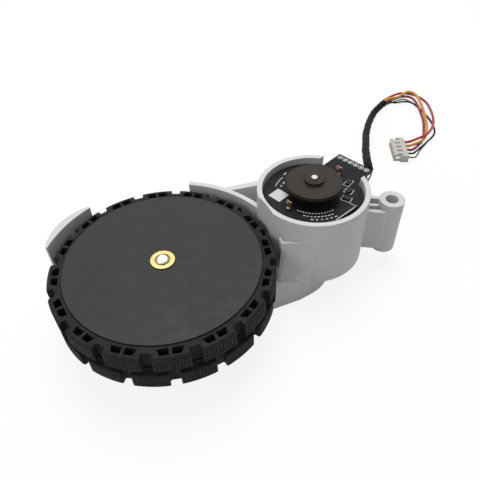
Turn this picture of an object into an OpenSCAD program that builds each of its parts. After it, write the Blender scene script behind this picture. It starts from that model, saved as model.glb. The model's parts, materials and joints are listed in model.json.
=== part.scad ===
// Robot vacuum drive wheel module: tyre and wheel on a light housing with a round motor
// cup, an encoder board on the motor, a pivot ear and a short cable with a plug.
// Millimetres. The wheel turns about Z through the origin. The gearbox cover lies on z = 0.

/* [Show] */
// Which node to build, or all of them
// Facets on round forms
$fn = 96; // [48:8:160]

/* [Wheel] */
// Diameter over the tread blocks
wheel_d = 70; // [60:0.5:80]
// Width of the tyre along the axle
tyre_w = 14; // [10:0.5:20]
// Diameter of the rim that the tyre is stretched over
rim_d = 61.8; // [50:0.2:70]
// Number of tread blocks in each of the two rows
tread_count = 16; // [10:1:24]
// Width of a notch between two blocks
notch_w = 3.2; // [1.5:0.1:5]
// Depth of a notch
notch_depth = 2.1; // [1:0.1:3.5]
// Width of the groove between the two rows
groove_w = 2.0; // [1:0.1:3]
// Depth of the groove
groove_depth = 1.5; // [0.5:0.1:2.5]
// Turn of the tread at rest, degrees
tread_phase = 3.0; // [0:0.5:22]
// Length of one window in a block's side, round the wheel
window_l = 3.3; // [2:0.1:5]
// Width of one window, along the radius
window_w = 2.1; // [1:0.1:3]
// Depth of the windows
window_depth = 3.0; // [0.5:0.1:4]
// Bar between the two windows of a pair
window_bar = 0.9; // [0.5:0.1:2]
// Thickness of the wheel's rim
rim_wall = 1.6; // [1:0.1:3]
// Thickness of the wheel's web
web_t = 1.8; // [1:0.1:3]
// Thickness of the face disc
face_t = 1.3; // [0.8:0.1:2.5]
// Gap round the face disc
face_gap = 0.2; // [0.05:0.05:0.5]
// Diameter of the brass insert
insert_d = 7.6; // [6:0.1:10]
// Diameter of the dark recess round the axle's end
insert_recess_d = 4.9; // [4:0.1:6]
// Diameter of the steel axle
axle_d = 3.9; // [3:0.1:6]

/* [Gearbox] */
// Thickness of the cover
cover_t = 2.0; // [1.5:0.1:4]
// Height of the gear space above the cover
gear_space_h = 7.3; // [6:0.1:12]
// Thickness of the roof under the wheel
roof_t = 1.5; // [1:0.1:3]
// Thickness of the gearbox side wall
box_wall = 1.5; // [1:0.1:3]
// Radius of the gearbox round the axle
axle_end_r = 19.2; // [18.5:0.1:22]
// Radius of the gearbox at the motor's end
motor_end_r = 15.5; // [15:0.1:18]
// Module of the first two gear stages
mod_fine = 0.6; // [0.5:0.05:0.7]
// Module of the last stage
mod_last = 0.8; // [0.6:0.05:0.9]
// Teeth of the motor pinion
pinion_teeth = 12; // [10:1:14]
// Teeth of the small gears
small_teeth = 14; // [12:1:16]
// Teeth of the large gears
large_teeth = 41; // [38:1:41]
// Play between teeth
backlash = 0.14; // [0.05:0.01:0.3]
// Diameter of the gear pins
gear_pin_d = 1.8; // [1.5:0.1:2.5]
// Radial play of a gear on its pin and of the axle in its bushes
run_gap = 0.04; // [0.02:0.01:0.1]
// Outside diameter of the axle bushes
bush_d = 6.2; // [5:0.1:8]

/* [Housing] */
// Wheel axis to motor axis, along X
motor_x = 50.9; // [45:0.1:60]
// Wheel axis to motor axis, along Y
motor_y = 18.6; // [10:0.1:25]
// Outside diameter of the motor cup
cup_d = 37.4; // [35:0.1:42]
// Inside diameter of the motor cup
cup_bore_d = 34.0; // [32:0.1:38]
// Height of the cup's underside
cup_low = 7.6; // [7:0.1:10]
// Height of the cup's rim
cup_high = 33.6; // [30:0.1:40]
// Thickness of the cup's floor
cup_floor_t = 2.0; // [1.5:0.1:4]
// Width of the gap in the rim for the board's tab
rim_gap_w = 16.4; // [14:0.1:20]
// Radius of the wheel well where it cuts the cup
well_r = 36.4; // [35.5:0.1:38]
// Inside radius of the fender
fender_r = 38.3; // [37:0.1:42]
// Thickness of the fender
fender_t = 1.8; // [1:0.1:3]
// Wheel axis to pivot axis, along X
pivot_x = 78.15; // [70:0.1:90]
// Wheel axis to pivot axis, along Y
pivot_y = 16.4; // [8:0.1:24]
// Outside diameter of the pivot boss
pivot_boss_d = 8.6; // [7:0.1:12]
// Bore of the pivot boss
pivot_bore_d = 4.4; // [3:0.1:6]
// Height of the boss's lower end
pivot_low = 5.8; // [0:0.1:10]
// Height of the boss's upper end
pivot_high = 27.2; // [20:0.1:34]
// Thickness of the ear's plates
ear_t = 1.5; // [1:0.1:3]
// Thickness of the bridge walls
bridge_t = 1.6; // [1:0.1:3]

/* [Motor and board] */
// Diameter of the motor
motor_d = 33.2; // [30:0.1:33.6]
// Length of the motor's can
motor_l = 18.8; // [15:0.1:22]
// Diameter of the motor shaft
shaft_d = 2.0; // [1.5:0.1:3]
// Diameter of the encoder magnet
magnet_d = 18.4; // [10:0.1:20]
// Thickness of the encoder magnet
magnet_t = 1.3; // [1:0.1:3]
// Diameter of the round part of the board
board_d = 32.6; // [28:0.1:33.4]
// Thickness of the board
board_t = 1.0; // [0.8:0.1:1.6]
// Height of the board's upper face
board_top = 31.5; // [28:0.1:34]
// Width of the board's tab
tab_w = 14.4; // [10:0.1:16]
// Reach of the tab from the motor axis
tab_reach = 24.0; // [20:0.1:28]
// Direction of the tab, degrees
tab_a = 38; // [0:1:90]

/* [Cable] */
// Diameter of the taped sleeve
sleeve_d = 3.5; // [2.5:0.1:5]
// Diameter of the two red wires
wire_red_d = 1.26; // [0.8:0.02:1.4]
// Diameter of the orange wire
wire_orange_d = 1.36; // [0.8:0.02:1.4]
// Diameter of the black wire
wire_black_d = 0.88; // [0.6:0.02:1.2]
// Diameter of the grey wire
wire_grey_d = 0.76; // [0.6:0.02:1.2]
// Pitch of the wires in the plug
plug_pitch = 3.1; // [2:0.1:3.4]
// Height of the plug
plug_h = 3.4; // [3:0.1:6]
// Depth of the plug along the wires
plug_l = 6.4; // [5:0.1:10]

/* [Hidden] */

e = 0.01;
fit_gap = 0.01;
light = [0.78, 0.78, 0.77];
black = [0.13, 0.13, 0.14];
dark = [0.20, 0.21, 0.22];
steel = [0.72, 0.73, 0.75];
brass = [0.80, 0.62, 0.28];
white_gear = [0.90, 0.89, 0.84];

wheel_r = wheel_d / 2;
rim_r = rim_d / 2;
axle_r = axle_d / 2;
cav_top = cover_t + gear_space_h;
roof_top = cav_top + roof_t;
tyre_low = roof_top + 0.7;
tyre_high = tyre_low + tyre_w;
face_low = tyre_high - 0.9;
face_high = face_low + face_t;
fender_high = tyre_high;
cup_r = cup_d / 2;
cup_bore_r = cup_bore_d / 2;
cup_floor = cup_low + cup_floor_t;
motor_high = cup_floor + motor_l;
board_low = board_top - board_t;
magnet_low = board_top + 3.7;
magnet_high = magnet_low + magnet_t;
collar_high = magnet_high + 1.1;
shaft_high = collar_high + 0.6;
bearing_boss_high = roof_top + 5.6;
hub_boss_low = bearing_boss_high + 0.5;
pivot_r = pivot_boss_d / 2;
ear_low = pivot_low + 2.0;
M = [motor_x, motor_y];
B = [pivot_x, pivot_y];
motor_end = [42.4, 15.4];
front_end = [42.4, 4.9];

// Gear heights: stage 1 lowest, stage 3 under the wheel
z1 = cover_t + 0.5;
z1_top = z1 + 2.0;
z2 = z1_top + 0.2;
z2_top = z2 + 2.0;
z3 = z2_top + 0.4;
z3_top = z3 + 1.8;

// Gear centres: the first on the line from the motor to the axle, the second where both meet
pitch_1 = mod_fine * (pinion_teeth + large_teeth) / 2;
pitch_2 = mod_fine * (small_teeth + large_teeth) / 2;
pitch_3 = mod_last * (small_teeth + large_teeth) / 2;
line_a = atan2(motor_y, motor_x);
g1_r = norm(M) - pitch_1;
G1 = g1_r * [cos(line_a), sin(line_a)];
g2_along = (g1_r * g1_r + pitch_3 * pitch_3 - pitch_2 * pitch_2) / (2 * g1_r);
g2_a = line_a + acos(g2_along / pitch_3);
G2 = pitch_3 * [cos(g2_a), sin(g2_a)];

// Turn that puts gear b in mesh with gear a: line direction, turn of a, teeth of a and b
function mesh(dir, turn, na, nb) = dir + 180 + 180 / nb + (dir - turn) * na / nb;
function dir(p, q) = atan2(q[1] - p[1], q[0] - p[0]);
g2_small_turn = mesh(dir([0, 0], G2), 0, large_teeth, small_teeth);
g1_small_turn = mesh(dir(G2, G1), 0, large_teeth, small_teeth);
pinion_turn = mesh(dir(G1, M), 0, large_teeth, pinion_teeth);

// Involute tooth outline: half angle of a tooth at radius r, base radius rb
pressure = 25;
function inv(r, rb) = r <= rb ? 0 : sqrt(r * r / rb / rb - 1) * 180 / PI - acos(rb / r);
function half(r, rp, rb, n) = 90 / n - backlash / rp * 45 / PI + inv(rp, rb) - inv(r, rb);
function tooth(n, m) = let (rp = n * m / 2, rb = rp * cos(pressure), ro = rp + 0.9 * m,
    rr = rp - 1.15 * m, rs = max(rb, rr + 0.1 * m))
    [[rr, half(rs, rp, rb, n)], [rs, half(rs, rp, rb, n)], [rp, half(rp, rp, rb, n)],
        [(rp + ro) / 2, half((rp + ro) / 2, rp, rb, n)], [ro, half(ro, rp, rb, n)]];
function gear_pts(n, m) = let (t = tooth(n, m), k = len(t))
    [for (i = [0 : n - 1], j = [0 : 2 * k - 1])
        let (q = j < k ? t[j] : t[2 * k - 1 - j], s = j < k ? -1 : 1)
        q[0] * [cos(i * 360 / n + s * q[1]), sin(i * 360 / n + s * q[1])]];

module gear(n, m, h, turn) {
    rotate(turn) linear_extrude(h) polygon(gear_pts(n, m));
}

module at(p, z = 0) {
    translate([p[0], p[1], z]) children();
}

module ring(r_out, r_in, z0, z1) {
    translate([0, 0, z0]) linear_extrude(z1 - z0) difference() {
        circle(r_out);
        circle(r_in);
    }
}

module rod(r, z0, z1) {
    translate([0, 0, z0]) cylinder(h = z1 - z0, r = r);
}

// Plan of the gearbox: a neck from the axle to the motor's end and a round end at the axle
module box_plan(inset = 0) {
    circle(axle_end_r - inset);
    hull() {
        circle(13 - inset);
        translate(G2) circle(15 - inset);
        translate(motor_end) circle(motor_end_r - inset);
        translate(front_end) circle(6 - inset);
    }
}

lug_r = 3.0;
lugs = concat(
    [for (a = [78, 165, 225, 320]) (axle_end_r + 1.6) * [cos(a), sin(a)]],
    [for (a = [40, 118]) motor_end + (motor_end_r + 1.5) * [cos(a), sin(a)]]);
screw_high = 6.9;

module sector(r, a0, a1) {
    polygon(concat([[0, 0]], [for (i = [0 : 8]) let (a = a0 + (a1 - a0) * i / 8)
        r * [cos(a), sin(a)]]));
}

// Plan of the fender: a crescent on the far side and a plain arc by the cup
module fender_plan() {
    intersection() {
        difference() {
            translate(22 * [cos(146), sin(146)]) circle(19.3);
            circle(fender_r + 0.3);
        }
        sector(60, 130.4, 163);
    }
    intersection() {
        difference() {
            circle(fender_r + fender_t);
            circle(fender_r);
        }
        sector(60, 3.9, 75.3);
    }
}

rear_a = [22.6, 33.3];
rear_b = [35.1, 35.6];
rear_c = [48.5, 36.5];

// Tangent wall from the fender to the cup on the far side, as a plan
module rear_wall_plan() {
    polygon([rear_a, rear_b, rear_c, rear_c - [0, bridge_t], [24.0, 31.4]]);
}

front_corner = [37.84, 2.6];
front_foot = [34.9, -2.4];
front_tangent = [motor_x + 0.6, motor_y - cup_r + 0.5];

// Slanting wall from the gearbox's edge up to the fender's end and the cup, on the near side
module front_wall() {
    hull() {
        translate([0, 0, cover_t]) linear_extrude(0.1)
            polygon([front_foot, [37.2, -1.3], [43.6, -0.9], [48.6, 1.6], [47, 3.5], [36.0, 0.2]]);
        translate([0, 0, fender_high - 0.1]) linear_extrude(0.1)
            polygon([front_corner, [39.7, 1.9], front_tangent, front_tangent + [0, bridge_t],
                [38.2, 4.2]]);
    }
}

module gear_space() {
    translate([0, 0, cover_t - e]) linear_extrude(cup_low - cover_t + e) box_plan(box_wall);
    translate([0, 0, cup_low - e]) linear_extrude(cav_top - cup_low + e) difference() {
        box_plan(box_wall);
        translate(M) circle(cup_r);
    }
}

screw_r = 0.8;
motor_screws_at = [for (a = [160, 340]) M + 10 * [cos(a), sin(a)]];

module ear_plan() {
    polygon([[64.8, 15.2], [74.9, 12.4], [77.8, 12.7], [77.6, 14.2], [75.2, 13.9], [65.3, 16.8]]);
    polygon([[65.2, 25.4], [72.9, 22.3], [78.2, 20.2], [77.6, 18.9], [72.4, 20.8], [64.8, 23.8]]);
    polygon([[66.0, 19.6], [75.0, 17.2], [75.0, 16.0], [66.0, 18.4]]);
}

module housing() {
    color(light) difference() {
        union() {
            translate([0, 0, cover_t]) linear_extrude(roof_top - cover_t) box_plan();
            for (i = [0 : 3]) at(lugs[i]) rod(lug_r, cover_t, roof_top);
            for (i = [4 : 5]) at(lugs[i]) rod(lug_r, cover_t, cup_low + 0.5);
            at(M) rod(cup_r, cup_low, cup_high);
            translate([0, 0, cav_top]) linear_extrude(roof_t) {
                circle(29);
                intersection() {
                    circle(fender_r + fender_t);
                    sector(60, 3.9, 163);
                }
                polygon([rear_a, rear_b, rear_c, M, [20, 15]]);
                polygon([front_corner, front_tangent, M, [20, 10], [30, 3]]);
            }
            translate([0, 0, cav_top]) linear_extrude(fender_high - cav_top) {
                fender_plan();
                rear_wall_plan();
            }
            front_wall();
            rod(5, roof_top - e, bearing_boss_high);
            at(B) rod(pivot_r, pivot_low, pivot_high);
            translate([0, 0, ear_low]) linear_extrude(24.7 - ear_low) ear_plan();
            translate([0, 0, ear_low]) linear_extrude(1.5)
                polygon([[65.1, 16.0], [75.0, 13.2], [77.6, 13.5], [77.8, 19.5], [72.6, 21.5], [65.0, 24.6]]);
        }
        gear_space();
        at(M) rod(cup_bore_r, cup_floor, cup_high + 1);
        ring(well_r, 20, roof_top, cup_high + 1);
        at(M) rotate(tab_a) translate([10, -rim_gap_w / 2, board_low - 0.7])
            cube([14, rim_gap_w + 0.6, 10]);
        at(M) rod(3.2, 0, 12);
        for (p = motor_screws_at) at(p) rod(screw_r + 0.25, 0, 12);
        for (p = lugs) at(p) rod(screw_r + fit_gap, 0, screw_high);
        at(G1) rod(gear_pin_d / 2 + fit_gap, 0, cup_floor - 0.7);
        at(G2) rod(gear_pin_d / 2 + fit_gap, 0, roof_top - 0.5);
        rod(bush_d / 2 + fit_gap, 0, bearing_boss_high + 1);
        at(B) rod(pivot_bore_d / 2, 0, 40);
    }
}

module gearbox_cover() {
    color(light) difference() {
        union() {
            linear_extrude(cover_t) {
                box_plan();
                for (p = lugs) translate(p) circle(lug_r);
            }
            rod(4.8, 0, z3 - 0.9);
        }
        for (p = lugs) at(p) {
            rod(screw_r + 0.15, -1, 5);
            rod(1.9, -1, 1.25);
        }
        at(G1) rod(gear_pin_d / 2 + fit_gap, 0.9, 5);
        at(G2) rod(gear_pin_d / 2 + fit_gap, 0.9, 5);
        rod(bush_d / 2 + fit_gap, 1.0, 20);
    }
}

module screw(head_r, head_h, shank_r, length) {
    difference() {
        union() {
            rod(head_r, 0, head_h);
            rod(shank_r, head_h - e, head_h + length);
        }
        for (a = [0, 90]) rotate(a) translate([-head_r * 0.6, -0.2, -e])
            cube([head_r * 1.2, 0.4, head_h * 0.5]);
    }
}

module cover_screws() {
    color(steel) for (p = lugs) at(p, 0.05) screw(1.7, 1.2, screw_r, screw_high - 1.5);
}

module axle_bush_top() {
    color(brass) ring(bush_d / 2, axle_r + run_gap, cav_top, bearing_boss_high);
}

module axle_bush_bottom() {
    color(brass) ring(bush_d / 2, axle_r + run_gap, 1.0, z3 - 0.9);
}

module gear_pin_1() {
    color(steel) at(G1) rod(gear_pin_d / 2, 0.9, cup_floor - 0.8);
}

module gear_pin_2() {
    color(steel) at(G2) rod(gear_pin_d / 2, 0.9, roof_top - 0.6);
}

can_wall = 1.0;
module motor_can() {
    color(steel) at(M) difference() {
        union() {
            rod(motor_d / 2, cup_floor, motor_high);
            rod(3.0, cup_floor - 1.4, cup_floor + e);
        }
        rod(motor_d / 2 - can_wall, cup_floor + 1.4, motor_high + 1);
        rod(shaft_d / 2 + run_gap, 0, 20);
        for (a = [160, 340]) rotate(a) translate([10, 0, 0]) rod(screw_r + fit_gap, 0, 20);
    }
}

module motor_end_cap() {
    color(black) at(M) difference() {
        union() {
            rod(motor_d / 2, motor_high, motor_high + 1.2);
            rod(motor_d / 2 - can_wall - fit_gap, motor_high - 1.0, motor_high + e);
            for (a = [100, 240, 340]) rotate(a) translate([13, 0, 0])
                rod(1.4, motor_high + 1.2 - e, board_low);
        }
        rod(shaft_d / 2 + run_gap, 0, 50);
        rod(14.0, motor_high - 2, motor_high - 0.2);
    }
}

module field_magnets() {
    color(dark) at(M) for (a = [0, 180]) rotate(a) difference() {
        ring(motor_d / 2 - can_wall - fit_gap, 12.6, cup_floor + 2.6, motor_high - 1.8);
        translate([-20, -22, 0]) cube([40, 26, 50]);
    }
}

module motor_screws() {
    color(steel) for (p = motor_screws_at) at(p, cup_low - 1.6) screw(1.9, 1.6, screw_r, 3.3);
}

terminals = [M + [11.2, 9.2], M + [-9.3, -6.2]];
pad_n = 6;
function pad(i) = M + (tab_reach - 1.6) * [cos(tab_a), sin(tab_a)]
    + (i - (pad_n - 1) / 2) * 2.25 * [sin(tab_a), -cos(tab_a)];

module encoder_board() {
    color(black) difference() {
        translate([0, 0, board_low]) linear_extrude(board_t) difference() {
            union() {
                translate(M) circle(board_d / 2);
                translate(M) rotate(tab_a) translate([0, -tab_w / 2]) square([tab_reach, tab_w]);
            }
            translate(M) circle(3.6);
            translate(M) rotate(-55.6) translate([14.7, -10]) square([10, 20]);
            for (i = [0 : 1]) translate(terminals[i]) rotate(i == 0 ? 130 : 118)
                square([2.4, 0.9], center = true);
        }
    }
}

module motor_terminals() {
    color(steel) for (i = [0 : 1]) at(terminals[i], motor_high + 1.2)
        rotate(i == 0 ? 130 : 118) difference() {
            translate([-1.0, -0.25, 0]) cube([2.0, 0.5, 4.6]);
            translate([0, 1, 3.5]) rotate([90, 0, 0]) cylinder(h = 2, r = 0.55, $fn = 24);
        }
}

// Small parts on the board: place from the motor axis and turn
chips = [[13.0, 3.35, 50], [11.9, -1.0, 55], [10.1, -4.75, -45]];

module board_parts() {
    color(dark) {
        for (chip = chips) at(M + [chip[0], chip[1]], board_top) rotate(chip[2])
            translate([-1.2, -0.7, 0]) cube([2.4, 1.4, 0.7]);
        at(M + 6.4 * [cos(125), sin(125)], board_top) rotate(125)
            translate([-0.8, -1.5, 0]) cube([1.6, 3.0, 1.1]);
    }
}

module pad_solder() {
    color(steel) for (i = [0 : pad_n - 1]) at(pad(i), board_top)
        cylinder(h = 0.6, r1 = 0.75, r2 = 0.4, $fn = 24);
}

// The side profile keeps the tread in two rows with a groove between
module tyre() {
    row_h = (tyre_w - groove_w) / 2;
    pitch = 360 / tread_count;
    groove_low = tyre_low + row_h;
    notch_round = 0.6;
    color(black) difference() {
        rotate_extrude() polygon([[rim_r, tyre_low], [wheel_r - 0.5, tyre_low],
            [wheel_r, tyre_low + 0.5], [wheel_r, groove_low], [wheel_r - groove_depth, groove_low],
            [wheel_r - groove_depth, groove_low + groove_w], [wheel_r, groove_low + groove_w],
            [wheel_r, tyre_high - 0.5], [wheel_r - 0.5, tyre_high], [rim_r, tyre_high]]);
        for (i = [0 : tread_count - 1], row = [0, 1])
            rotate(tread_phase + pitch * (i + row / 2))
            translate([0, 0, row == 1 ? groove_low + groove_w - 0.3 : tyre_low - 1])
            linear_extrude(row_h + 1.3) {
                translate([wheel_r - notch_depth, -notch_w / 2 + notch_round])
                    square([notch_depth + 1, notch_w - 2 * notch_round]);
                translate([wheel_r - notch_depth + notch_round, -notch_w / 2])
                    square([notch_depth + 1, notch_w]);
                for (side = [-1, 1])
                    translate([wheel_r - notch_depth + notch_round, side * (notch_w / 2 - notch_round)])
                    circle(notch_round, $fn = 24);
            }
        for (i = [0 : tread_count - 1], s = [-1, 1])
            rotate(tread_phase + pitch * i)
            translate([rim_r + 0.75, 0, tyre_high - window_depth])
            linear_extrude(window_depth + 1)
            polygon([[0, s * window_bar / 2], [window_w, s * window_bar / 2],
                [window_w, s * (window_bar / 2 + window_l - 0.8)],
                [0, s * (window_bar / 2 + window_l)]]);
    }
}

module wheel_hub() {
    color(dark) difference() {
        union() {
            ring(rim_r, rim_r - rim_wall, tyre_low + 0.5, face_low);
            rod(rim_r - 0.5, face_low - web_t, face_low);
            rod(insert_d / 2 + 2.7, hub_boss_low, face_low - e);
            for (a = [0 : 60 : 300]) rotate(a) translate([insert_d / 2 + 2, -0.7, face_low - web_t - 2.3])
                cube([rim_r - rim_wall - insert_d / 2 - 1.8, 1.4, 2.3 + e]);
        }
        rod(insert_d / 2 + fit_gap, 0, 40);
    }
}

module hub_face() {
    color(dark) ring(rim_r - face_gap, insert_d / 2 + 0.05, face_low, face_high);
}

module brass_insert() {
    color(brass) difference() {
        rod(insert_d / 2, hub_boss_low + 0.2, face_high + 0.5);
        rod(axle_r + fit_gap, 0, 40);
        rod(insert_recess_d / 2, face_high - 0.7, 40);
    }
}

module axle() {
    color(steel) {
        rod(axle_r, 1.2, face_high + 0.6);
        translate([0, 0, face_high + 0.6]) cylinder(h = 0.4, r1 = axle_r, r2 = axle_r - 0.4);
    }
}

module output_gear() {
    color(white_gear) difference() {
        union() {
            translate([0, 0, z3]) gear(large_teeth, mod_last, z3_top - z3, 0);
            rod(4.2, z3 - 0.6, z3 + e);
        }
        rod(axle_r + fit_gap, 0, 40);
    }
}

module compound_gear_1() {
    color(white_gear) at(G1) difference() {
        union() {
            translate([0, 0, z1]) gear(large_teeth, mod_fine, z1_top - z1, 0);
            translate([0, 0, z1_top - e]) gear(small_teeth, mod_fine, z2_top - z1_top + 0.2,
                g1_small_turn);
            rod(2.0, cover_t + 0.2, z1 + e);
        }
        rod(gear_pin_d / 2 + run_gap, 0, 40);
    }
}

module compound_gear_2() {
    color(white_gear) at(G2) difference() {
        union() {
            translate([0, 0, z2]) gear(large_teeth, mod_fine, z2_top - z2, 0);
            translate([0, 0, z2_top - e]) gear(small_teeth, mod_last, z3_top - z2_top + e,
                g2_small_turn);
            rod(2.0, cover_t + 0.2, z2 + e);
        }
        rod(gear_pin_d / 2 + run_gap, 0, 40);
    }
}

module motor_shaft() {
    color(steel) at(M) rod(shaft_d / 2, z1 - 0.1, shaft_high);
}

module motor_pinion() {
    color(brass) at(M) difference() {
        translate([0, 0, z1]) gear(pinion_teeth, mod_fine, 3.4, pinion_turn);
        rod(shaft_d / 2 + fit_gap, 0, 20);
    }
}

core_low = cup_floor + 4.0;
core_high = motor_high - 4.0;
module armature() {
    color(steel) at(M, core_low) linear_extrude(core_high - core_low) difference() {
        union() {
            circle(3.2);
            for (a = [0, 120, 240]) rotate(a) {
                translate([2, -1.6]) square([9, 3.2]);
                difference() {
                    sector(12.0, -42, 42);
                    circle(10.0);
                }
            }
        }
        circle(shaft_d / 2 + fit_gap);
    }
}

module armature_coils() {
    color([0.72, 0.42, 0.22]) at(M) for (a = [0, 120, 240]) rotate(a)
        translate([0, 0, core_low - 1.2]) difference() {
            translate([5.2, -3.4, 0]) cube([4.0, 6.8, core_high - core_low + 2.4]);
            translate([2, -1.6 - fit_gap, 1.2 - fit_gap])
                cube([9, 3.2 + 2 * fit_gap, core_high - core_low + 2 * fit_gap]);
        }
}

module encoder_magnet() {
    color([0.22, 0.19, 0.18]) at(M) difference() {
        union() {
            rod(magnet_d / 2, magnet_low, magnet_high);
            rod(3.2, magnet_low - 1.0, collar_high);
        }
        rod(shaft_d / 2 + fit_gap, 0, 50);
    }
}

// Cable. Route points are millimetres, chosen by hand from the photo
function lerp(a, b, t) = a + (b - a) * t;
function spline(p, n) = let (k = len(p) - 1) concat([for (i = [0 : k - 1], j = [0 : n - 1])
    let (t = j / n, a = p[max(i - 1, 0)], b = p[i], c = p[i + 1], d = p[min(i + 2, k)])
    0.5 * (2 * b + (c - a) * t + (2 * a - 5 * b + 4 * c - d) * t * t
        + (3 * b - a - 3 * c + d) * t * t * t)], [p[k]]);
function unit(v) = v / norm(v);

// Sweep of a round section with 8 sides along p
module tube(p, r) {
    k = len(p);
    rings = [for (i = [0 : k - 1]) let (t = unit(p[min(i + 1, k - 1)] - p[max(i - 1, 0)]),
        s = unit(cross(t, [0, 0, 1])), u = cross(s, t))
        for (j = [0 : 7]) p[i] + r * (cos(45 * j + 22.5) * s + sin(45 * j + 22.5) * u)];
    sides = [for (i = [0 : k - 2], j = [0 : 7]) let (a = 8 * i + j, b = 8 * i + (j + 1) % 8)
        [a, b, b + 8, a + 8]];
    ends = [[for (j = [0 : 7]) 7 - j], [for (j = [0 : 7]) 8 * (k - 1) + j]];
    polyhedron(rings, concat(sides, ends));
}

sleeve_route = [[74.7, 32.2, 28.2], [76, 36.8, 27.2], [78.1, 44.3, 24.6], [81.7, 55.1, 20.6],
    [86, 67, 16.2], [90.1, 78.1, 12.2], [94.4, 88.7, 8.6], [98.9, 98.5, 5.8], [103.6, 107.6, 3.6],
    [108.1, 114.6, 2.3], [112, 119.2, 1.8], [114.7, 121.6, 1.75]];

module cable_sleeve() {
    color(black) tube(spline(sleeve_route, 2), sleeve_d / 2);
}

// Routes of the five loose wires, from the end of the sleeve to the plug
route_crimson = [[114.61, 121.98, 0.75], [116.2, 123.5, 0.72], [123.1, 127.1, 0.7],
    [127.7, 128.3, 0.8], [130.3, 125.5, 1.7], [130.7, 120.3, 2.6], [129.8, 113.2, 3.1],
    [129.1, 107.8, 2.8], [128.5, 103, 2.2], [127.7, 99.2, 1.4], [126.2, 95.1, 0.9],
    [124.9, 91.6, 0.7], [122.8, 87.4, 0.7], [120.2, 84, 0.75], [114.01, 78.24, 1.75],
    [110.98, 78.75, 1.9]];
route_orange = [[114.84, 121.69, 2.81], [116.5, 123.1, 3], [123.4, 125.2, 2.5],
    [127.4, 128.4, 2.2], [131, 130.6, 2.1], [133.4, 128.7, 2.1], [133.7, 123, 2.4],
    [132.2, 114.6, 2.95], [130.6, 106.8, 2.9], [128.7, 98.9, 2.6], [126.4, 92.6, 2.15],
    [123.4, 87, 2.05], [119.8, 83.4, 2.3], [113.93, 81.4, 1.9], [111.5, 81.81, 1.9]];
route_red = [[114.16, 122.52, 1.9], [116.1, 124.9, 1.8], [124.4, 131.1, 0.8], [129, 131.9, 0.7],
    [133.3, 129.9, 0.7], [136.2, 125.7, 0.7], [137.2, 119.2, 1.1], [135.8, 110.7, 1.9],
    [133.7, 102.9, 2.6], [131.2, 96.5, 2.7], [127.2, 90.4, 3.2], [123, 86.4, 3.5],
    [119.4, 85, 3.2], [114.44, 84.46, 1.9], [112.01, 84.87, 1.9]];
route_black = [[115.5, 120.89, 1.81], [117.3, 122.1, 1.9], [121.2, 121.4, 1.5],
    [124.8, 122.1, 1.35], [128.3, 121.3, 1.35], [130.4, 118, 1.35], [131.6, 111.4, 1.35],
    [132.3, 103.8, 1.35], [131.7, 96.8, 1.35], [130.3, 91.5, 1.35], [127.7, 87.8, 1.35],
    [124.1, 84.5, 1.35], [120.5, 81.2, 1.5], [117.8, 78.8, 1.85], [113.3, 75.22, 1.9],
    [110.47, 75.69, 1.9]];
route_grey = [[115.29, 121.15, 0.98], [117.1, 122.4, 0.6], [125.2, 125.8, 0.45],
    [128.3, 125.3, 0.45], [130.2, 122.1, 0.45], [131.2, 118.2, 0.45], [132, 113.9, 0.45],
    [132.6, 109.2, 0.45], [132.8, 103.6, 0.45], [132.4, 98.1, 0.45], [130.9, 92.8, 0.45],
    [128.4, 89.2, 0.45], [124.8, 85.8, 0.45], [121.3, 82.1, 0.5], [117.8, 78.2, 1],
    [112.99, 72.13, 1.85], [109.96, 72.64, 1.9]];

module wire_crimson() {
    color([0.55, 0.04, 0.12]) tube(spline(route_crimson, 2), wire_red_d / 2);
}

module wire_orange() {
    color([0.90, 0.55, 0.10]) tube(spline(route_orange, 2), wire_orange_d / 2);
}

module wire_red() {
    color([0.75, 0.06, 0.08]) tube(spline(route_red, 2), wire_red_d / 2);
}

module wire_black() {
    color([0.06, 0.06, 0.06]) tube(spline(route_black, 2), wire_black_d / 2);
}

module wire_grey() {
    color([0.60, 0.59, 0.58]) tube(spline(route_grey, 2), wire_grey_d / 2);
}

// Short ends from the pads to the mouth of the sleeve, in two rows of three. The last hangs low
lead_d = 0.56;
lead_mouth = [sleeve_route[0][0], sleeve_route[0][1] - 1.1, sleeve_route[0][2]];
lead_loop = [[72.9, 28.3, 27.4], [73.6, 29.1, 25.2], [74.4, 30.2, 25.4]];

module pad_leads() {
    color([0.62, 0.10, 0.20]) for (i = [0 : pad_n - 1]) {
        q = pad(i);
        side = (floor(i / 2) - 1) * 0.85;
        tip = lead_mouth + [side * sin(tab_a), -side * cos(tab_a), 0.35 - (i % 2) * 0.75];
        half_way = [lerp(q[0], tip[0], 0.5), lerp(q[1], tip[1], 0.5),
            board_low - 0.8 - (i % 2) * 0.7];
        tube(spline(concat([[q[0], q[1], board_low - 0.34]], i == pad_n - 1 ? lead_loop : [half_way],
            [tip]), 3), lead_d / 2);
    }
}

plug_at = [107.7, 79.3];
plug_a = -9.5;
wire_n = 5;
plug_w = plug_pitch * (wire_n - 1) + 2.8;
plug_nose_w = plug_w - 1.8;
entry_h = 1.9;

// The wires go in at +X, and the mating face is at -X
module plug_body() {
    color([0.90, 0.88, 0.82]) at(plug_at) rotate(plug_a) difference() {
        union() {
            translate([-plug_l / 2, -plug_nose_w / 2, 0]) cube([plug_l, plug_nose_w, plug_h]);
            translate([-0.4, -plug_w / 2, 0]) cube([plug_l / 2 + 0.4, plug_w, plug_h]);
        }
        for (i = [0 : wire_n - 1]) translate([0, (i - (wire_n - 1) / 2) * plug_pitch, 0]) {
            translate([-plug_l / 2 - 1, -0.65, entry_h - 0.75]) cube([plug_l, 1.3, 1.5]);
            translate([-1.4, -0.5, entry_h]) cube([2.4, 1.0, 4]);
        }
    }
}

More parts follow.
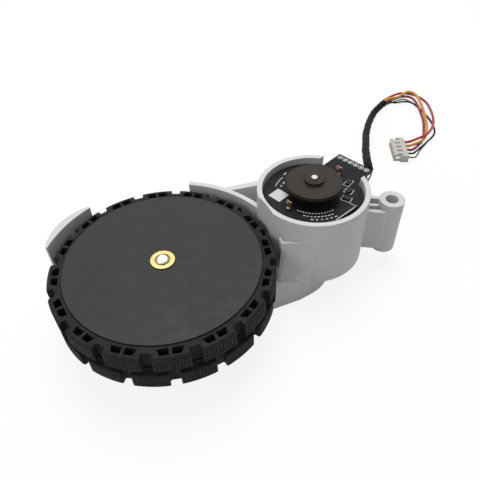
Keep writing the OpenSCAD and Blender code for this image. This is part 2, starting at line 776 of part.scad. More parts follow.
module plug_contacts() {
    color(steel) at(plug_at) rotate(plug_a) for (i = [0 : wire_n - 1])
        translate([-plug_l / 2 + 0.6, (i - (wire_n - 1) / 2) * plug_pitch - 0.55, entry_h - 0.6])
            cube([plug_l - 1.7, 1.1, 1.2]);
}

housing();
gearbox_cover();
cover_screws();
axle_bush_top();
axle_bush_bottom();
gear_pin_1();
gear_pin_2();
motor_can();
motor_end_cap();
field_magnets();
motor_screws();
encoder_board();
motor_terminals();
board_parts();
pad_solder();
pad_leads();
tyre();
wheel_hub();
hub_face();
brass_insert();
axle();
output_gear();
compound_gear_1();
compound_gear_2();
motor_shaft();
motor_pinion();
armature();
armature_coils();
encoder_magnet();
cable_sleeve();
wire_crimson();
wire_orange();
wire_red();
wire_black();
wire_grey();
plug_body();
plug_contacts();
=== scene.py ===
import json
import math
import random

import bmesh
import bpy
from mathutils import Matrix, Vector


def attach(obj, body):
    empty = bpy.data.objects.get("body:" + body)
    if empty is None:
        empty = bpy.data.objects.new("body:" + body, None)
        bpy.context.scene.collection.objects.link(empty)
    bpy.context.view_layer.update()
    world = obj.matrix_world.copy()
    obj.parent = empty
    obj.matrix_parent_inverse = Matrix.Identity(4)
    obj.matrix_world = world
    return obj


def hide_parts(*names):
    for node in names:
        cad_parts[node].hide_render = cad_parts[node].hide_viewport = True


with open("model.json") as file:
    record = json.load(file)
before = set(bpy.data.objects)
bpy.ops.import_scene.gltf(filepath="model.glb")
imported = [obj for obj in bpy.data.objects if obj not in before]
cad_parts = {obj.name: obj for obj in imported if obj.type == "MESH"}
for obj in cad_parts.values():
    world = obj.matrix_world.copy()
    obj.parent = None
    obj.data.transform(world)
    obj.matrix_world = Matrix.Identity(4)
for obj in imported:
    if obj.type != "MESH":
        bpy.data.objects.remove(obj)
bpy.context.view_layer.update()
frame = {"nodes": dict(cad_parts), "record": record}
cad = frame["nodes"]
scene = bpy.context.scene
rng = random.Random(7)
MM = 0.001


# Camera, at the photograph's viewing angle

CAMERA_AT = Vector((14.25, -107.70, 137.74)) * MM
CAMERA_TURN = math.radians(-5.255)
CAMERA_TILT = math.radians(44.524)
CAMERA_ROLL = math.radians(-2.156)
LENS_PX, FRAME_PX, SENSOR = 499.3, 480, 36


def add_camera():
    ca, sa = math.cos(CAMERA_TURN), math.sin(CAMERA_TURN)
    ce, se = math.cos(CAMERA_TILT), math.sin(CAMERA_TILT)
    back = Vector((sa * ce, -ca * ce, se))
    right = Vector((ca, sa, 0))
    up = back.cross(right)
    cr, sr = math.cos(CAMERA_ROLL), math.sin(CAMERA_ROLL)
    across, over = right * cr + up * sr, up * cr - right * sr
    data = bpy.data.cameras.new("camera")
    data.sensor_width = SENSOR
    data.lens = LENS_PX / FRAME_PX * SENSOR
    data.clip_start, data.clip_end = 0.005, 20
    cam = bpy.data.objects.new("camera", data)
    scene.collection.objects.link(cam)
    turn = Matrix((across, over, back)).transposed().to_4x4()
    cam.matrix_world = Matrix.Translation(CAMERA_AT) @ turn
    scene.camera = cam


add_camera()


# Material building blocks


class Shader:
    """A node material with a Principled shader and short helpers for its texture nodes."""

    def __init__(self, name, colour, rough, metallic=0.0, specular=0.5):
        self.mat = bpy.data.materials.new(name)
        self.mat.use_nodes = True
        self.tree = self.mat.node_tree
        self.main = self.tree.nodes["Principled BSDF"]
        self.main.inputs["Base Color"].default_value = (*colour, 1)
        self.main.inputs["Roughness"].default_value = rough
        self.main.inputs["Metallic"].default_value = metallic
        self.main.inputs["Specular IOR Level"].default_value = specular
        self.coords = self.node("ShaderNodeTexCoord").outputs["Object"]
        self.normal = None

    def node(self, kind, **settings):
        n = self.tree.nodes.new(kind)
        for key, value in settings.items():
            setattr(n, key, value)
        return n

    def link(self, a, b):
        self.tree.links.new(a, b)

    def math(self, operation, a, b=None, c=None):
        n = self.node("ShaderNodeMath", operation=operation)
        for i, v in enumerate((a, b, c)):
            if isinstance(v, (int, float)):
                n.inputs[i].default_value = v
            elif v is not None:
                self.link(v, n.inputs[i])
        return n.outputs[0]

    def stretched(self, sx, sy, sz):
        n = self.node("ShaderNodeMapping")
        n.inputs["Scale"].default_value = (sx, sy, sz)
        self.link(self.coords, n.inputs["Vector"])
        return n.outputs["Vector"]

    def noise(self, size_mm, detail=2.0, rough=0.5, coords=None):
        n = self.node("ShaderNodeTexNoise")
        n.inputs["Scale"].default_value = 1 / (size_mm * MM)
        n.inputs["Detail"].default_value = detail
        n.inputs["Roughness"].default_value = rough
        self.link(coords or self.coords, n.inputs["Vector"])
        return n.outputs["Fac"]

    def spread(self, value, low, high, from_low=0.3, from_high=0.7):
        n = self.node("ShaderNodeMapRange")
        for key, v in zip(("From Min", "From Max", "To Min", "To Max"),
                          (from_low, from_high, low, high)):
            n.inputs[key].default_value = v
        self.link(value, n.inputs["Value"])
        return n.outputs["Result"]

    def mix(self, fac, a, b):
        n = self.node("ShaderNodeMix", data_type="RGBA")
        self.link(fac, n.inputs["Factor"])
        for socket, v in ((n.inputs[6], a), (n.inputs[7], b)):
            if isinstance(v, tuple):
                socket.default_value = (*v, 1)
            else:
                self.link(v, socket)
        return n.outputs[2]

    def vary(self, size_mm, a, b, low=0.3, high=0.7):
        self.colour(self.mix(self.spread(self.noise(size_mm), 0, 1, low, high), a, b))

    def colour(self, output):
        self.link(output, self.main.inputs["Base Color"])

    def rough(self, output):
        self.link(output, self.main.inputs["Roughness"])

    def edges(self, radius_mm):
        n = self.node("ShaderNodeBevel", samples=6)
        n.inputs["Radius"].default_value = radius_mm * MM
        self.normal = n.outputs["Normal"]

    def bump(self, height, depth_mm, strength=1.0):
        n = self.node("ShaderNodeBump")
        n.inputs["Strength"].default_value = strength
        n.inputs["Distance"].default_value = depth_mm * MM
        self.link(height, n.inputs["Height"])
        if self.normal is not None:
            self.link(self.normal, n.inputs["Normal"])
        self.normal = n.outputs["Normal"]

    def done(self):
        if self.normal is not None:
            self.link(self.normal, self.main.inputs["Normal"])
        return self.mat


def light_plastic():
    s = Shader("light_plastic", (0.69, 0.685, 0.675), 0.5, specular=0.35)
    s.vary(14, (0.675, 0.670, 0.655), (0.705, 0.70, 0.69))
    s.rough(s.spread(s.noise(2.5), 0.44, 0.58))
    s.edges(0.35)
    s.bump(s.noise(0.22, 3.0), 0.02, 0.5)
    return s.done()


def tyre_rubber():
    s = Shader("tyre_rubber", (0.016, 0.016, 0.017), 0.7, specular=0.16)
    s.vary(5, (0.012, 0.012, 0.013), (0.021, 0.021, 0.022))
    s.rough(s.spread(s.noise(1.2), 0.6, 0.8))
    s.edges(0.3)
    s.bump(s.noise(0.4, 3.0), 0.03, 0.5)
    return s.done()


def dark_disc():
    s = Shader("dark_plastic", (0.036, 0.037, 0.039), 0.5, specular=0.16)
    s.vary(16, (0.032, 0.034, 0.034), (0.042, 0.041, 0.045))
    s.rough(s.spread(s.noise(3.0), 0.42, 0.56))
    s.edges(0.2)
    s.bump(s.noise(0.3, 3.0), 0.012, 0.5)
    return s.done()


def turned_metal(name, colour, other, rough):
    s = Shader(name, colour, rough, metallic=1.0)
    s.vary(1.5, colour, other)
    s.rough(s.spread(s.noise(0.8), rough - 0.06, rough + 0.08))
    s.edges(0.15)
    s.bump(s.noise(0.35, 2.0, coords=s.stretched(1, 1, 14)), 0.012, 0.5)
    return s.done()


def plain_plastic(name, colour, other, rough, grain_mm=0.5, edge_mm=0.12, specular=0.5):
    s = Shader(name, colour, rough, specular=specular)
    s.vary(4, colour, other)
    s.rough(s.spread(s.noise(1.6), rough - 0.06, rough + 0.08))
    s.edges(edge_mm)
    s.bump(s.noise(grain_mm, 3.0), 0.02, 0.4)
    return s.done()


def board_mask():
    s = Shader("board_black", (0.007, 0.007, 0.008), 0.36, specular=0.12)
    tracks = s.node("ShaderNodeTexVoronoi", feature="DISTANCE_TO_EDGE", distance="CHEBYCHEV")
    tracks.inputs["Scale"].default_value = 1 / (2.1 * MM)
    s.link(s.coords, tracks.inputs["Vector"])
    fac = s.spread(tracks.outputs["Distance"], 1, 0, 0.02, 0.10)
    s.colour(s.mix(fac, (0.006, 0.006, 0.007), (0.013, 0.014, 0.015)))
    s.edges(0.1)
    s.bump(fac, 0.03, 0.5)
    s.bump(s.noise(0.35, 2.0), 0.01, 0.4)
    return s.done()


def sleeve_tape():
    s = Shader("sleeve_black", (0.004, 0.004, 0.004), 0.62, specular=0.06)
    s.vary(2.0, (0.003, 0.003, 0.003), (0.007, 0.007, 0.007))
    s.rough(s.spread(s.noise(1.0), 0.5, 0.75))
    s.bump(s.noise(1.1, 4.0, 0.6), 0.22, 0.6)
    s.bump(s.noise(0.18, 2.0), 0.03, 0.5)
    return s.done()


def insulation(name, colour, other, rough=0.32, specular=0.45):
    s = Shader(name, colour, rough, specular=specular)
    s.vary(3, colour, other)
    s.rough(s.spread(s.noise(1.0), rough - 0.08, rough + 0.1))
    s.bump(s.noise(0.5, 2.0), 0.03, 0.4)
    return s.done()


def soft_ivory():
    s = Shader("plug_ivory", (0.57, 0.55, 0.51), 0.45, specular=0.3)
    s.main.inputs["Subsurface Weight"].default_value = 0.15
    s.main.inputs["Subsurface Scale"].default_value = 0.6 * MM
    s.vary(2, (0.54, 0.52, 0.48), (0.61, 0.59, 0.55))
    s.edges(0.2)
    s.bump(s.noise(0.4, 3.0), 0.03, 0.4)
    return s.done()


MATERIALS = {
    "light_plastic": light_plastic(),
    "tyre_rubber": tyre_rubber(),
    "dark_plastic": dark_disc(),
    "steel": turned_metal("steel", (0.50, 0.49, 0.47), (0.60, 0.59, 0.57), 0.38),
    "brass": turned_metal("brass", (0.66, 0.44, 0.16), (0.74, 0.52, 0.22), 0.30),
    "board_black": board_mask(),
    "gear_plastic": plain_plastic("gear_plastic", (0.72, 0.69, 0.60), (0.76, 0.74, 0.66), 0.4),
    "black_plastic": plain_plastic("black_plastic", (0.014, 0.014, 0.014), (0.020, 0.020, 0.020), 0.45,
                                   specular=0.2),
    "magnet_brown": plain_plastic("magnet_brown", (0.027, 0.022, 0.019), (0.034, 0.028, 0.024), 0.5, 0.4,
                                  specular=0.16),
    "ferrite": plain_plastic("ferrite", (0.055, 0.055, 0.060), (0.075, 0.075, 0.080), 0.6, 0.3),
    "copper": turned_metal("copper", (0.58, 0.26, 0.12), (0.68, 0.34, 0.18), 0.35),
    "solder": turned_metal("solder", (0.66, 0.67, 0.69), (0.78, 0.79, 0.80), 0.26),
    "solder_dull": turned_metal("solder_dull", (0.26, 0.26, 0.27), (0.34, 0.34, 0.35), 0.42),
    "winding_tan": turned_metal("winding_tan", (0.22, 0.15, 0.10), (0.32, 0.24, 0.18), 0.45),
    "sleeve_black": sleeve_tape(),
    "wire_red": insulation("wire_red", (0.36, 0.008, 0.030), (0.46, 0.014, 0.040)),
    "wire_orange": insulation("wire_orange", (0.60, 0.27, 0.012), (0.70, 0.33, 0.025)),
    "wire_crimson": insulation("wire_crimson", (0.26, 0.006, 0.022), (0.34, 0.010, 0.034)),
    "wire_black": insulation("wire_black", (0.005, 0.005, 0.005), (0.009, 0.009, 0.009), 0.42, 0.12),
    "wire_grey": insulation("wire_grey", (0.13, 0.13, 0.135), (0.19, 0.19, 0.195), 0.42, 0.25),
    "plug_ivory": soft_ivory(),
}

for part in frame["record"]["subparts"]:
    node = cad[part["node"]]
    if not node.material_slots:
        node.data.materials.append(None)
    for place in node.material_slots:
        place.material = MATERIALS[part["material_slot"]]
for place in cad["motor_terminals"].material_slots:
    place.material = MATERIALS["winding_tan"]


def finish_piece(obj, body, slot, *replaced, material=None):
    """Material, body and hidden CAD nodes of a new piece; the slot name only picks the default material.
    """
    obj.data.materials.append(material or MATERIALS[slot])
    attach(obj, body)
    if replaced:
        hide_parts(*replaced)
    return obj


def mesh_object(name, bm, smooth=True):
    bmesh.ops.recalc_face_normals(bm, faces=bm.faces)
    data = bpy.data.meshes.new(name)
    bm.to_mesh(data)
    bm.free()
    for f in data.polygons:
        f.use_smooth = smooth
    obj = bpy.data.objects.new(name, data)
    scene.collection.objects.link(obj)
    return obj


# Harness: the routes of part.scad, in metres

SLEEVE_D = 3.5 * MM
WIRE_D = {"crimson": 1.26, "orange": 1.36, "red": 1.26, "black": 0.88, "grey": 0.76}
SLEEVE_ROUTE = [
    (74.7, 32.2, 28.2), (76, 36.8, 27.2), (78.1, 44.3, 24.6), (81.7, 55.1, 20.6),
    (86, 67, 16.2), (90.1, 78.1, 12.2), (94.4, 88.7, 8.6), (98.9, 98.5, 5.8),
    (103.6, 107.6, 3.6), (108.1, 114.6, 2.3), (112, 119.2, 1.8), (114.7, 121.6, 1.75)]
WIRE_ROUTES = {
    "crimson": [
        (114.61, 121.98, 0.75), (116.2, 123.5, 0.72), (123.1, 127.1, 0.7), (127.7, 128.3, 0.8),
        (130.3, 125.5, 1.7), (130.7, 120.3, 2.6), (129.8, 113.2, 3.1), (129.1, 107.8, 2.8),
        (128.5, 103, 2.2), (127.7, 99.2, 1.4), (126.2, 95.1, 0.9), (124.9, 91.6, 0.7),
        (122.8, 87.4, 0.7), (120.2, 84, 0.75), (114.01, 78.24, 1.75), (110.98, 78.75, 1.9)],
    "orange": [
        (114.84, 121.69, 2.81), (116.5, 123.1, 3), (123.4, 125.2, 2.5), (127.4, 128.4, 2.2),
        (131, 130.6, 2.1), (133.4, 128.7, 2.1), (133.7, 123, 2.4), (132.2, 114.6, 2.95),
        (130.6, 106.8, 2.9), (128.7, 98.9, 2.6), (126.4, 92.6, 2.15), (123.4, 87, 2.05),
        (119.8, 83.4, 2.3), (113.93, 81.4, 1.9), (111.5, 81.81, 1.9)],
    "red": [
        (114.16, 122.52, 1.9), (116.1, 124.9, 1.8), (124.4, 131.1, 0.8), (129, 131.9, 0.7),
        (133.3, 129.9, 0.7), (136.2, 125.7, 0.7), (137.2, 119.2, 1.1), (135.8, 110.7, 1.9),
        (133.7, 102.9, 2.6), (131.2, 96.5, 2.7), (127.2, 90.4, 3.2), (123, 86.4, 3.5),
        (119.4, 85, 3.2), (114.44, 84.46, 1.9), (112.01, 84.87, 1.9)],
    "black": [
        (115.5, 120.89, 1.81), (117.3, 122.1, 1.9), (121.2, 121.4, 1.5), (124.8, 122.1, 1.35),
        (128.3, 121.3, 1.35), (130.4, 118, 1.35), (131.6, 111.4, 1.35), (132.3, 103.8, 1.35),
        (131.7, 96.8, 1.35), (130.3, 91.5, 1.35), (127.7, 87.8, 1.35), (124.1, 84.5, 1.35),
        (120.5, 81.2, 1.5), (117.8, 78.8, 1.85), (113.3, 75.22, 1.9), (110.47, 75.69, 1.9)],
    "grey": [
        (115.29, 121.15, 0.98), (117.1, 122.4, 0.6), (125.2, 125.8, 0.45), (128.3, 125.3, 0.45),
        (130.2, 122.1, 0.45), (131.2, 118.2, 0.45), (132, 113.9, 0.45), (132.6, 109.2, 0.45),
        (132.8, 103.6, 0.45), (132.4, 98.1, 0.45), (130.9, 92.8, 0.45), (128.4, 89.2, 0.45),
        (124.8, 85.8, 0.45), (121.3, 82.1, 0.5), (117.8, 78.2, 1), (112.99, 72.13, 1.85),
        (109.96, 72.64, 1.9)],
}


def handles(points):
    """Bezier handles that give the same curve through the points as the CAD model's spline."""
    last = len(points) - 1
    out = []
    for i, p in enumerate(points):
        step = (points[min(i + 1, last)] - points[max(i - 1, 0)]) / 6
        out.append((p - step, p, p + step))
    return out


def spline_points(points, per):
    last = len(points) - 1
    out = []
    for i in range(last):
        a, b, c, d = points[max(i - 1, 0)], points[i], points[i + 1], points[min(i + 2, last)]
        for j in range(per):
            t = j / per
            out.append(0.5 * (2 * b + (c - a) * t + (2 * a - 5 * b + 4 * c - d) * t * t
                              + (3 * b - a - 3 * c + d) * t ** 3))
    return out + [points[last]]


def wire_curve(name, points, diameter):
    data = bpy.data.curves.new(name, "CURVE")
    data.dimensions = "3D"
    data.resolution_u = 6
    data.bevel_depth = diameter / 2
    data.bevel_resolution = 3
    data.use_fill_caps = True
    line = data.splines.new("BEZIER")
    line.bezier_points.add(len(points) - 1)
    for knot, (left, at, right) in zip(line.bezier_points, handles(points)):
        knot.handle_left_type = knot.handle_right_type = "FREE"
        knot.co, knot.handle_left, knot.handle_right = at, left, right
    obj = bpy.data.objects.new(name, data)
    scene.collection.objects.link(obj)
    return obj


def wrinkled_tube(name, path, radius, sides=28):
    """A taped sleeve: a tube with shallow folds across it, a little wider towards its far end and capped
    at both ends.
    """
    bm = bmesh.new()
    rings = []
    last = len(path) - 1
    for i, p in enumerate(path):
        ahead = (path[min(i + 1, last)] - path[max(i - 1, 0)]).normalized()
        side = ahead.cross(Vector((0, 0, 1))).normalized()
        over = side.cross(ahead)
        along = i / last
        ring = []
        for k in range(sides):
            a = 2 * math.pi * k / sides
            fold = 0.06 * math.sin(i * 0.93 + 2.2 * math.sin(a + i * 0.17))
            fold += 0.045 * math.sin(3 * a + i * 0.61) + 0.04 * math.sin(i * 0.29 + a)
            r = radius * (0.84 + 0.09 * along + 0.6 * fold)
            ring.append(bm.verts.new(p + side * (r * math.cos(a)) + over * (r * math.sin(a))))
        rings.append(ring)
    for one, two in zip(rings, rings[1:]):
        for k in range(sides):
            n = (k + 1) % sides
            bm.faces.new((one[k], one[n], two[n], two[k]))
    bm.faces.new(rings[0])
    bm.faces.new(rings[-1])
    return mesh_object(name, bm)


def build_harness():
    route = [Vector(p) * MM for p in SLEEVE_ROUTE]
    path = spline_points(route, 12)
    sleeve = wrinkled_tube("sleeve_taped", path, SLEEVE_D / 2)
    finish_piece(sleeve, "base", "sleeve_black", "cable_sleeve")
    for colour, points in WIRE_ROUTES.items():
        route = [Vector(p) * MM for p in points]
        thick = WIRE_D[colour] * MM
        wire = wire_curve("loose_wire_" + colour, route, thick)
        finish_piece(wire, "base", "wire_" + colour, "wire_" + colour)


build_harness()


# Tread: fine ribs both ways on every block

WHEEL_R, TREAD_COUNT, TREAD_PHASE = 35.0, 16, 3.0
ROWS = ((12.1, 17.3, 0.0), (19.7, 24.9, 0.5))
NOTCH_HALF_A = 3.1
RIB_PITCH, RIB_W, RIB_H, RIB_SUNK, RIB_TAPER = 0.95, 0.46, 0.15, 0.06, 0.08


def wall_box(bm, a0, a1, z0, z1, steps=1):
    """A thin raised bar on the tread, from angle a0 to a1 in degrees and from z0 to z1 in mm."""
    rows = []
    for i in range(steps + 1):
        a = math.radians(a0 + (a1 - a0) * i / steps)
        out = []
        for r, z in ((WHEEL_R - RIB_SUNK, z0), (WHEEL_R + RIB_H, z0 + RIB_TAPER),
                     (WHEEL_R + RIB_H, z1 - RIB_TAPER), (WHEEL_R - RIB_SUNK, z1)):
            out.append(bm.verts.new(Vector((r * math.cos(a), r * math.sin(a), z)) * MM))
        rows.append(out)
    for one, two in zip(rows, rows[1:]):
        for k in range(4):
            bm.faces.new((one[k], one[(k + 1) % 4], two[(k + 1) % 4], two[k]))
    bm.faces.new(rows[0])
    bm.faces.new(rows[-1][::-1])


def build_tread_ribs():
    bm = bmesh.new()
    block_a = 360 / TREAD_COUNT
    rib_a = math.degrees(RIB_PITCH / WHEEL_R)
    half_w = math.degrees(RIB_W / 2 / WHEEL_R)
    for z0, z1, shift in ROWS:
        for i in range(TREAD_COUNT):
            first = TREAD_PHASE + block_a * (i + shift) + NOTCH_HALF_A
            last = first + block_a - 2 * NOTCH_HALF_A
            ribs = int((last - first) / rib_a)
            start = (first + last - ribs * rib_a) / 2
            for k in range(ribs + 1):
                a = start + k * rib_a
                wall_box(bm, a - half_w, a + half_w, z0, z1)
            across = int((z1 - z0) / RIB_PITCH)
            for k in range(across + 1):
                z = (z0 + z1 - across * RIB_PITCH) / 2 + k * RIB_PITCH
                low, high = max(z - RIB_W / 2, z0), min(z + RIB_W / 2, z1)
                wall_box(bm, first, last, low, high, steps=8)
    finish_piece(mesh_object("tread_ribs", bm, smooth=False), "wheel", "tyre_rubber")


build_tread_ribs()


# Board: plain white marks, solder and the motor's wire ends

BOARD_TOP, MARK_T = 31.5, 0.05
MOTOR = Vector((50.9, 18.6, 0))
TAB_A, TAB_REACH, PAD_PITCH, PADS = math.radians(38), 24.0, 2.25, 6
BLANK_AT, BLANK_SIDE, BLANK_A = (39.4, 19.1), 4.9, math.radians(37.6)
CHIP_FRAMES = ((63.9, 21.95, 3.9, 2.2, 45), (62.8, 17.6, 2.9, 2.5, -42), (61.0, 13.85, 3.4, 2.6, -40))
LINE_W = 0.2
MARK_ROWS = ((10.5, -130, -66, 13, 0.8), (12.0, -116, -72, 9, 0.9), (13.4, -104, -70, 6, 1.1),
             (12.9, 132, 154, 6, 0.9))
EDGE_BARS = ((11.0, 142, 1.2), (11.1, 152, 0.9), (13.8, 122, 1.4))
LEG_BARS = ((62.0, 11.0, 1.9, -50), (63.0, 10.1, 1.2, -35))
PAD_INSET, PAD_RING_R, PAD_RING_W, PAD_HEAP_R, PAD_HEAP_H = 1.6, 0.9, 0.2, 0.62, 0.24
TAGS = ((62.1, 27.8, math.radians(130)), (41.6, 12.4, math.radians(118)))
TAG_HEAP_R, TAG_HEAP_H = 0.95, 0.45
LOOP_TURNS, LOOP_STEPS, LOOP_HALF_W, LOOP_HALF_H, LOOP_MID = 2.2, 28, 0.62, 0.75, 1.5
LOOP_WIRE_R, TAIL_R = 0.17, 0.2
CHORD_A, CHORD_R = math.radians(-55.6), 14.1


def plate(bm, outline, z, thick):
    """A flat plate on an outline in mm."""
    low = [bm.verts.new(Vector((x, y, z)) * MM) for x, y in outline]
    high = [bm.verts.new(Vector((x, y, z + thick)) * MM) for x, y in outline]
    count = len(outline)
    for k in range(count):
        n = (k + 1) % count
        bm.faces.new((low[k], low[n], high[n], high[k]))
    bm.faces.new(low[::-1])
    bm.faces.new(high)


def bar(bm, x, y, length, width, turn, z=BOARD_TOP, thick=MARK_T):
    c, d = math.cos(turn), math.sin(turn)
    corners = ((-length, -width), (length, -width), (length, width), (-length, width))
    plate(bm, [(x + (u * c - v * d) / 2, y + (u * d + v * c) / 2) for u, v in corners], z, thick)


def frame_marks(bm, x, y, length, width, turn):
    """Four bars round a small part."""
    c, d = math.cos(turn), math.sin(turn)
    for side in (-1, 1):
        u, v = side * (length - LINE_W) / 2, side * (width - LINE_W) / 2
        bar(bm, x - v * d, y + v * c, length, LINE_W, turn)
        bar(bm, x + u * c, y + u * d, LINE_W, width - 2 * LINE_W, turn)


def ring_mark(bm, x, y, radius, width, sides=20):
    for k in range(sides):
        a = 2 * math.pi * (k + 0.5) / sides
        bar(bm, x + radius * math.cos(a), y + radius * math.sin(a), width,
            2 * radius * math.sin(math.pi / sides), a)


def pad_place(i):
    along = Vector((math.cos(TAB_A), math.sin(TAB_A), 0))
    across = Vector((along.y, -along.x, 0))
    return MOTOR + along * (TAB_REACH - PAD_INSET) + across * (i - (PADS - 1) / 2) * PAD_PITCH


def build_board_marks():
    bm = bmesh.new()
    bar(bm, *BLANK_AT, BLANK_SIDE, BLANK_SIDE, BLANK_A)
    for x, y, length, width, turn in CHIP_FRAMES:
        frame_marks(bm, x, y, length, width, math.radians(turn))
    for i in range(PADS):
        at = pad_place(i)
        ring_mark(bm, at.x, at.y, PAD_RING_R, PAD_RING_W)
    chord_x = MOTOR.x + CHORD_R * math.cos(CHORD_A)
    chord_y = MOTOR.y + CHORD_R * math.sin(CHORD_A)
    bar(bm, chord_x, chord_y, 0.3, 9.0, CHORD_A)
    for x, y, length, turn in LEG_BARS:
        bar(bm, x, y, length, LINE_W, math.radians(turn))
    for radius, first, last, count, length in MARK_ROWS:
        for k in range(count):
            a = math.radians(first + (last - first) * k / (count - 1))
            bar(bm, MOTOR.x + radius * math.cos(a), MOTOR.y + radius * math.sin(a), 0.34,
                length * rng.uniform(0.6, 0.9), a)
    for radius, turn, length in EDGE_BARS:
        a = math.radians(turn)
        bar(bm, MOTOR.x + radius * math.cos(a), MOTOR.y + radius * math.sin(a), 0.4, length, a + 0.3)
    white = Shader("print_white", (0.68, 0.68, 0.66), 0.6, specular=0.3)
    white.bump(white.noise(0.3, 2.0), 0.01, 0.4)
    finish_piece(mesh_object("board_marks", bm, smooth=False), "base", "light_plastic",
                 material=white.done())


def dome(bm, at, radius, height, sides=18, rings=5):
    """A soft solder heap, slightly uneven."""
    rows = []
    for i in range(rings):
        t = i / rings
        r = radius * math.cos(t * math.pi / 2) ** 0.8
        z = height * math.sin(t * math.pi / 2)
        row = []
        for k in range(sides):
            a = 2 * math.pi * k / sides
            rr = r * (1 + 0.06 * math.sin(3 * a + at[0]))
            place = Vector((at[0] + rr * math.cos(a), at[1] + rr * math.sin(a), at[2] + z))
            row.append(bm.verts.new(place * MM))
        rows.append(row)
    top = bm.verts.new(Vector((at[0], at[1], at[2] + height)) * MM)
    for one, two in zip(rows, rows[1:]):
        for k in range(sides):
            n = (k + 1) % sides
            bm.faces.new((one[k], one[n], two[n], two[k]))
    for k in range(sides):
        bm.faces.new((rows[-1][k], rows[-1][(k + 1) % sides], top))
    bm.faces.new(rows[0][::-1])


def sweep(bm, path, radius, sides=10):
    """A round wire along points in mm."""
    points = [Vector(p) for p in path]
    last = len(points) - 1
    rings = []
    over = Vector((0.31, 0.17, 0.93)).normalized()
    for i, p in enumerate(points):
        ahead = (points[min(i + 1, last)] - points[max(i - 1, 0)]).normalized()
        side = ahead.cross(over).normalized()
        over = side.cross(ahead).normalized()
        rings.append([bm.verts.new((p + (side * math.cos(a) + over * math.sin(a)) * radius) * MM)
                      for a in (2 * math.pi * k / sides for k in range(sides))])
    for one, two in zip(rings, rings[1:]):
        for k in range(sides):
            n = (k + 1) % sides
            bm.faces.new((one[k], one[n], two[n], two[k]))
    bm.faces.new(rings[0][::-1])
    bm.faces.new(rings[-1])


def build_wire_ends():
    """Winding wire looped through the two tags, and solder at their feet."""
    copper, tin = bmesh.new(), bmesh.new()
    for x, y, turn in TAGS:
        out = Vector((math.cos(turn + math.pi / 2), math.sin(turn + math.pi / 2), 0))
        along = Vector((math.cos(turn), math.sin(turn), 0))
        foot = Vector((x, y, BOARD_TOP))
        loop = []
        for k in range(LOOP_STEPS + 1):
            a = 2 * math.pi * LOOP_TURNS * k / LOOP_STEPS
            loop.append(foot + out * (LOOP_HALF_W * math.cos(a)) + along * (0.1 + 0.03 * k)
                        + Vector((0, 0, LOOP_MID + LOOP_HALF_H * math.sin(a))))
        sweep(copper, loop, LOOP_WIRE_R)
        tail = [foot + along * 0.9 + out * 0.3 + Vector((0, 0, 1.6)),
                foot + along * 1.3 + out * -0.3 + Vector((0, 0, 1.0)),
                foot + along * 1.6 + out * -1.0 + Vector((0, 0, 0.4)),
                foot + along * 1.7 + out * -1.8 + Vector((0, 0, 0.15))]
        sweep(tin, tail, TAIL_R)
        dome(tin, (x, y, BOARD_TOP), TAG_HEAP_R, TAG_HEAP_H)
    finish_piece(mesh_object("winding_ends", copper), "base", "copper",
                 material=MATERIALS["winding_tan"])
    finish_piece(mesh_object("tag_solder", tin), "base", "solder",
                 material=MATERIALS["solder_dull"])


def build_pad_heaps():
    """Low, dull solder on the six pads, inside their printed rings."""
    bm = bmesh.new()
    for i in range(PADS):
        at = pad_place(i)
        dome(bm, (at.x, at.y, BOARD_TOP), PAD_HEAP_R, PAD_HEAP_H)
    finish_piece(mesh_object("pad_heaps", bm), "base", "solder", "pad_solder",
                 material=MATERIALS["solder_dull"])


build_board_marks()
build_wire_ends()
build_pad_heaps()


# Raised lip along the near wall of the bridge, a little in front of the motor cup

LIP_HIGH, LIP_LOW, LIP_FLOOR, LIP_T = 26.5, 20.0, 24.8, 0.75
LIP_EDGE_DROP, LIP_EDGE_SHARE = 0.15, 0.2
LIP_RUN = (((36.95, 4.4), (37.2, 4.3)), ((37.36, 1.55), (37.5, 1.75)), ((39.6, 1.2), (39.4, 1.45)),
           ((43.1, 0.8), (43.0, 1.25)), ((47.5, 0.2), (47.0, 0.95)), ((51.2, -0.2), (50.6, 0.8)))


def build_wall_lip():
    """Outer face on a line in mm at the top, running into the wall's own face lower down."""
    bm = bmesh.new()
    rows = []
    last = len(LIP_RUN) - 1
    for i, (top, foot) in enumerate(LIP_RUN):
        ahead = Vector(LIP_RUN[min(i + 1, last)][0]) - Vector(LIP_RUN[max(i - 1, 0)][0])
        inward = Vector((-ahead.y, ahead.x)).normalized() * LIP_T
        inner = Vector(top) + inward
        section = ((foot[0], foot[1], LIP_LOW), (top[0], top[1], LIP_HIGH - LIP_EDGE_DROP),
                   (top[0] + inward.x * LIP_EDGE_SHARE, top[1] + inward.y * LIP_EDGE_SHARE, LIP_HIGH),
                   (inner.x, inner.y, LIP_HIGH), (inner.x, inner.y, LIP_FLOOR))
        rows.append([bm.verts.new(Vector(p) * MM) for p in section])
    for one, two in zip(rows, rows[1:]):
        for k in range(5):
            bm.faces.new((one[k], one[(k + 1) % 5], two[(k + 1) % 5], two[k]))
    bm.faces.new(rows[0])
    bm.faces.new(rows[-1][::-1])
    finish_piece(mesh_object("wall_lip", bm, smooth=False), "base", "light_plastic")


build_wall_lip()


# Stage and light

FLOOR_HALF, FLOOR_DROP = 4, 0.0001
SEEN_GLOW, SEEN_SHARE = 1.16, 0.74
STUDIO_LEVEL, BACKDROP_LEVEL = 0.30, 1.0


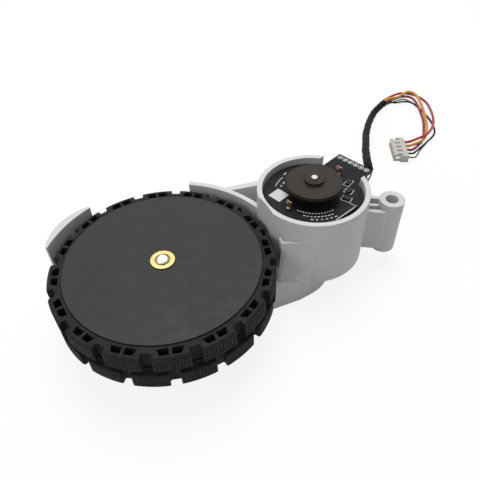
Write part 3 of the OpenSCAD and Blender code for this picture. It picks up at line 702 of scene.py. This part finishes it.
def add_stage():
    bm = bmesh.new()
    bmesh.ops.create_grid(bm, x_segments=1, y_segments=1, size=FLOOR_HALF)
    floor = mesh_object("floor", bm, smooth=False)
    floor.location.z = -FLOOR_DROP
    s = Shader("floor_pale", (0.55, 0.55, 0.55), 0.9)
    seen = s.node("ShaderNodeLightPath")
    either = s.math("MAXIMUM", seen.outputs["Is Camera Ray"],
                    s.math("MAXIMUM", seen.outputs["Is Glossy Ray"], seen.outputs["Is Transmission Ray"]))
    glow = s.node("ShaderNodeEmission")
    glow.inputs["Color"].default_value = (1, 1, 1, 1)
    glow.inputs["Strength"].default_value = SEEN_GLOW
    blend = s.node("ShaderNodeMixShader")
    s.link(s.math("MULTIPLY", either, SEEN_SHARE), blend.inputs[0])
    s.link(s.main.outputs[0], blend.inputs[1])
    s.link(glow.outputs[0], blend.inputs[2])
    s.link(blend.outputs[0], s.tree.nodes["Material Output"].inputs["Surface"])
    floor.data.materials.append(s.mat)
    world = bpy.data.worlds.new("studio")
    world.use_nodes = True
    scene.world = world
    tree = world.node_tree
    back = tree.nodes["Background"]
    path = tree.nodes.new("ShaderNodeLightPath")
    most = tree.nodes.new("ShaderNodeMath")
    most.operation = "MAXIMUM"
    tree.links.new(path.outputs["Is Camera Ray"], most.inputs[0])
    tree.links.new(path.outputs["Is Glossy Ray"], most.inputs[1])
    more = tree.nodes.new("ShaderNodeMath")
    more.operation = "MAXIMUM"
    tree.links.new(most.outputs[0], more.inputs[0])
    tree.links.new(path.outputs["Is Transmission Ray"], more.inputs[1])
    level = tree.nodes.new("ShaderNodeMapRange")
    level.inputs["To Min"].default_value = STUDIO_LEVEL
    level.inputs["To Max"].default_value = BACKDROP_LEVEL
    tree.links.new(more.outputs[0], level.inputs["Value"])
    tree.links.new(level.outputs["Result"], back.inputs["Strength"])
    back.inputs["Color"].default_value = (1, 1, 1, 1)


def add_lamp(name, at, size, power, aim=(0.03, 0.01, 0.01)):
    data = bpy.data.lights.new(name, "AREA")
    data.shape = "DISK"
    data.size, data.energy = size, power
    lamp = bpy.data.objects.new(name, data)
    lamp.location = at
    lamp.rotation_euler = (Vector(aim) - Vector(at)).to_track_quat("-Z", "Y").to_euler()
    scene.collection.objects.link(lamp)


add_stage()
add_lamp("lamp_top", (0.05, 0.25, 0.75), 0.55, 4.0)
add_lamp("lamp_left", (-0.55, -0.25, 0.45), 0.40, 1.1)

scene.view_settings.view_transform = "Standard"
